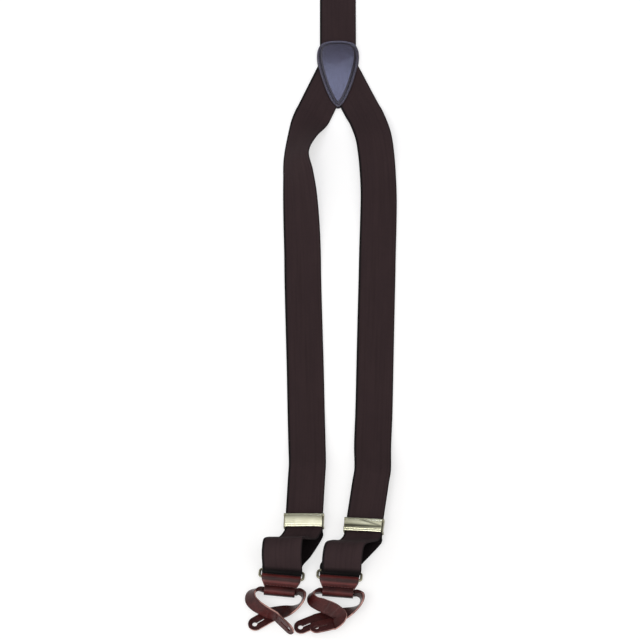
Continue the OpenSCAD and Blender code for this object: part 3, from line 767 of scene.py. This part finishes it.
verts.append((centre[0], centre[1], verts[-1][2]))
edge.append(0)
painted_shading.append(0)
faces = tube_faces(len(fractions) + 1, n)
last_row = len(fractions) * n
faces += [(last_row + j, last_row + (j + 1) % n, len(verts) - 1) for j in range(n)]
faces.append(tuple(reversed(range(n))))
ob = add_mesh("patch_leather_front", verts, faces, PATCH, edge=edge, painted_shading=painted_shading)
face_outwards(ob)
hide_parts("patch_front")
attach(ob, "patch")

# thread round the patch, in the groove
ring = np.concatenate([outline, outline[:1]])
arc = np.concatenate([[0], np.cumsum(np.linalg.norm(np.diff(ring, axis=0), axis=1))])
count = int(arc[-1] / STITCH_PITCH)
rows = []
for i in range(count):
    s = arc[-1] * (i + 0.5) / count
    p, q = (np.array([np.interp(at, arc, ring[:, 0]), np.interp(at, arc, ring[:, 1])]) for at in (s, s + 0.5))
    t = (q - p) / max(1e-6, np.linalg.norm(q - p))
    inward = np.array([t[1], -t[0]])
    if inward @ (centre - p) < 0:
        inward = -inward
    p = p + inward * SEAM
    rows.append((Vector((p[0], p[1], TOP - 0.12)), Vector((t[0], t[1], 0)), Vector((0, 0, 1))))
ob = beads("patch_thread", rows, DARK_THREAD, 2.1, 0.62, 0.6)
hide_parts("patch_stitching")
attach(ob, "patch")


# ---------------------------------------------------------------- leather ends
def tab_width(y):
    """A tab's width; y is 0 at the ring's upper bar and negative towards the ears."""
    return float(np.interp(-y, [0, 9.5, 16.5, 19, 30], [39.6, 39.6, 33, 31, 31]))


def ring_points(cy, cz, r, first, last, count):
    """Points on an arc round (cy, cz), between two angles in degrees."""
    angles = [first + (last - first) * i / count for i in range(count + 1)]
    return [(cy + r * cosd(a), cz + r * sind(a)) for a in angles]


# a tab's section: the under ply, the turn round the ring's bar, the top ply and the ears' tunnel
tab_route = [(-19.2, -2.45), (-15, -2.45), (-11, -2.5)]
tab_route += ring_points(-8, 0, 2.5, -90, 90, 6)
tab_route += [(-9.8, 2.0), (-12, 0.7), (-14.5, -0.35), (-17, -0.52), (-18.6, -0.2)]
tab_route += ring_points(-23.5, 1.8, 4.28, 0, 278, 12)
# painted light and shade along that route: a painted highlight on the lip, on the sewn crease and along the
# tunnel, painted shade in the hollows
tab_painted_shading = (
    [0, 13.0, 14.5, 16.0, 19.0, 20.8, 22.3, 24.2, 25.0, 26.2, 27.2, 29.5, 31.0, 36, 40, 41.5, 43.2, 44.8, 46],
    [0.4, 0.7, 0.1, -0.85, -0.4, 0.85, 0.6, -1, -1, 0.0, -0.4, -0.2, 0.95, 0.6, 0.4, -0.6, -0.4, 0.75, 0.95])
for side, end in (("left", end_l), ("right", end_r), ("back", end_b)):
    path = Path([(end, y, z, tab_width(y)) for y, z in tab_route], 5)
    ob = strip(f"{side}_leather_tab", path, OXBLOOD, thick=1.75, step=0.5, across=16, corner=0.5,
               painted_shading_at=lambda s, a: float(np.interp(s, *tab_painted_shading)))
    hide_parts(f"{side}_tab")
    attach(ob, f"{side}_tab")
    rows = [(put(end, 3.3 * (i - 4), -17.05, 0.44), axes(end)[1], axes(end)[3]) for i in range(9)]
    ob = beads(f"{side}_tab_thread", rows, RED_THREAD, 2.3, 0.65, 0.6)
    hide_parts(f"{side}_tab_stitching")
    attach(ob, f"{side}_tab")


EAR_HALF_THICK = 1.1
EAR_ROUNDING = 0.42
END_R = 7.5  # the ear's round end
HOLE_R = 2.5  # the buttonhole's eyelet
HOLE_INSET = 6.5
SLIT = 0.75  # half the slit's width
SLIT_END = 11


def ear_blank(name, path):
    """The flat leather of an ear with its buttonhole, cut into cells so that it can bend."""
    hole_s = path.length - HOLE_INSET
    blank = bpy.data.curves.new(name, "CURVE")
    blank.dimensions = "2D"
    blank.fill_mode = "BOTH"
    blank.extrude = EAR_HALF_THICK - EAR_ROUNDING
    blank.bevel_depth = EAR_ROUNDING
    blank.bevel_resolution = 2
    blank.offset = -EAR_ROUNDING
    left, right = [], []
    end_s = path.length - END_R
    for s in np.arange(0, end_s, 0.8):
        w = float(np.interp(s, path.s, path.width)) / 2
        left.append((-w, s))
        right.append((w, s))
    round_end = [(END_R * cosd(a), end_s + END_R * sind(a)) for a in range(0, 181, 9)]
    outer = right + round_end + left[::-1]
    hole = [(HOLE_R * sind(a), hole_s + HOLE_R * cosd(a)) for a in range(-162, 163, 12)]
    hole += [(SLIT, hole_s - 3.2), (SLIT, hole_s - SLIT_END + 0.5), (0.4, hole_s - SLIT_END),
             (-0.4, hole_s - SLIT_END), (-SLIT, hole_s - SLIT_END + 0.5), (-SLIT, hole_s - 3.2)]
    for pts in (outer, hole):
        sp = blank.splines.new("POLY")
        sp.points.add(len(pts) - 1)
        for q, (x, y) in zip(sp.points, pts):
            q.co = (x, y, 0, 1)
        sp.use_cyclic_u = True
    tmp = bpy.data.objects.new(name + "_blank", blank)
    bpy.context.scene.collection.objects.link(tmp)
    dg = bpy.context.evaluated_depsgraph_get()
    flat = bpy.data.meshes.new_from_object(tmp.evaluated_get(dg))
    bpy.data.objects.remove(tmp)
    bpy.data.curves.remove(blank)
    bm = bmesh.new()
    bm.from_mesh(flat)
    bpy.data.meshes.remove(flat)
    bmesh.ops.remove_doubles(bm, verts=bm.verts[:], dist=0.002)
    cuts = [((0, s, 0), (0, 1, 0)) for s in np.arange(1.0, path.length - 0.5, 1.1)]
    cuts += [((x, 0, 0), (1, 0, 0)) for x in (-5, -2.5, 0, 2.5, 5)]
    for point, normal in cuts:
        bmesh.ops.bisect_plane(bm, geom=bm.verts[:] + bm.edges[:] + bm.faces[:],
                               plane_co=point, plane_no=normal)
    return bm


def ear(name, body, plate, line):
    """An ear, bent from its blank along its route."""
    path = Path(list(line) + far(plate), 10)
    bm = ear_blank(name, path)
    co = np.array([v.co for v in bm.verts])
    c, w, up, _ = path.at(co[:, 1])
    # thicker where it is rolled into the tunnel, and a little hollow towards its end
    thick = np.interp(co[:, 1], [0, 3, 9, 20], [2.3, 2.1, 1.35, 1.0])
    bowl = 0.35 * (co[:, 0] / END_R) ** 2 * np.clip((co[:, 1] - 10) / 15, 0, 1)
    high = co[:, 2]
    # the pale cut edge fades towards the tunnel, and on one side it is a painted light: full on the raised
    # edge that catches the light, faint on the lower edge in shade
    pale_edge_and_painted_light = 1.0 - np.clip((np.abs(high) / EAR_HALF_THICK - 0.58) / 0.34, 0, 1)
    pale_edge_and_painted_light *= np.clip((co[:, 1] - 3) / 12, 0.25, 1) * np.clip(0.65 + co[:, 0] / 8, 0.3, 1)
    # painted shade: dark where the ear leaves the tunnel, and darker all along the rear ears, which lie under
    # the front ones
    tip = [0.45, 0.45] if "rear" in name else [0.1, 0.2]
    ear_painted_shade = np.interp(co[:, 1], [0, 4, 14, 26, 40], [0.8, 0.6, 0.2] + tip)
    place = c + w * co[:, :1] + up * (high * thick + bowl)[:, None]
    edge_layer = bm.verts.layers.float.new("edge")
    painted_shading_layer = bm.verts.layers.float.new("painted_shading")
    for v, p, e, q in zip(bm.verts, place, pale_edge_and_painted_light, ear_painted_shade):
        v.co = Vector(p) * MM
        v[edge_layer] = float(e)
        v[painted_shading_layer] = float(q)
    for f in bm.faces:
        f.smooth = True
    bmesh.ops.recalc_face_normals(bm, faces=bm.faces[:])
    me = bpy.data.meshes.new(name)
    bm.to_mesh(me)
    bm.free()
    me.materials.append(OXBLOOD)
    ob = bpy.data.objects.new(name + "_leather", me)
    bpy.context.scene.collection.objects.link(ob)
    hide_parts(name)
    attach(ob, body)


for name, (body, plate, line) in ears.items():
    ear(name, body, plate, line)


# ---------------------------------------------------------------- adjusters
COVER_HALF = 19  # half the cover's width
COVER_R = 18  # the radius of its face
COVER_CENTRE = (-1.4, -12.6)


def arc_z(y):
    """The face of the cover at y, in the adjuster's seat."""
    return COVER_CENTRE[1] + math.sqrt(COVER_R ** 2 - (y - COVER_CENTRE[0]) ** 2)


# the cover's section: the rolled lower lip, the face, the upper bead and the under side
profile = [(-8.3, 3.1), (-8.9, 3.3), (-9.15, 3.9), (-8.8, 4.45), (-8.1, 4.55), (-7.6, 4.25), (-7.2, 4.3)]
profile += [(y, arc_z(y)) for y in np.arange(-6.6, 3.9, 0.7)]
profile += [(3.9, arc_z(3.9) - 0.3), (4.4, arc_z(4.4) + 0.05), (5.2, arc_z(5.2) + 0.1),
            (5.9, 3.8), (6.1, 3.2), (5.9, 2.0), (5.6, 1.2), (4.4, 0.95), (3.0, 1.1), (-1.0, 1.2),
            (-1.2, 2.4), (-1.2, 3.6), (-4.0, 3.9), (-7.0, 3.2)]


def lever_painted_reflection(side, x, y):
    """Painted reflection on a lever, as darkening: towards the top, and on the right one a band and a
    slanting streak.
    """
    if side == "left":
        return float(np.interp(y, [-9, -3, 2, 5, 6], [0, 0.05, 0.35, 0.55, 0.7]))
    band = 0.95 * math.exp(-((y + 3.7) / 1.5) ** 2)
    top = 0.8 * float(np.interp(y, [3.8, 5.2], [0, 1]))
    streak = 0.85 * math.exp(-((y - 2.2 + 0.28 * x) / 0.9) ** 2) * float(np.interp(x, [-6, 0], [0, 1]))
    return max(band, top, streak)


for side, adj in (("left", adj_l), ("right", adj_r)):
    verts, painted_shading = [], []
    xs = [-COVER_HALF, -18.4] + list(np.linspace(-17, 17, 18)) + [18.4, COVER_HALF]
    for x in xs:
        for y, z in profile:
            bow = 0.35 * (1 - (x / COVER_HALF) ** 2)
            verts.append(put(adj, x, y, z + bow))
            painted_shading.append(lever_painted_reflection(side, x, y))
    faces = tube_faces(len(xs), len(profile)) + tube_caps(len(xs), len(profile))
    ob = add_mesh(f"{side}_lever_cover", verts, faces, BRASS, painted_shading=painted_shading)
    face_outwards(ob)
    add_bevel(ob, 0.0003, 60)
    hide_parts(f"{side}_adjuster_lever")
    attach(ob, f"{side}_lever")


# ---------------------------------------------------------------- CAD nodes that stay, with their finish
def finish_node(name, mat, bevel=0.0):
    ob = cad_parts[name]
    ob.data.materials.clear()
    ob.data.materials.append(mat)
    if bevel:
        add_bevel(ob, bevel, 50)


finish_node("patch_back", PATCH, 0.0003)
for side in ("left", "right", "back"):
    finish_node(f"{side}_ring", SHADED_BRASS)
    finish_node(f"{side}_thong", OXBLOOD)
    if side != "back":
        finish_node(f"{side}_adjuster_frame", SHADED_BRASS, 0.00015)
        finish_node(f"{side}_adjuster_bar", SHADED_BRASS)
        finish_node(f"{side}_adjuster_pin", SHADED_BRASS)
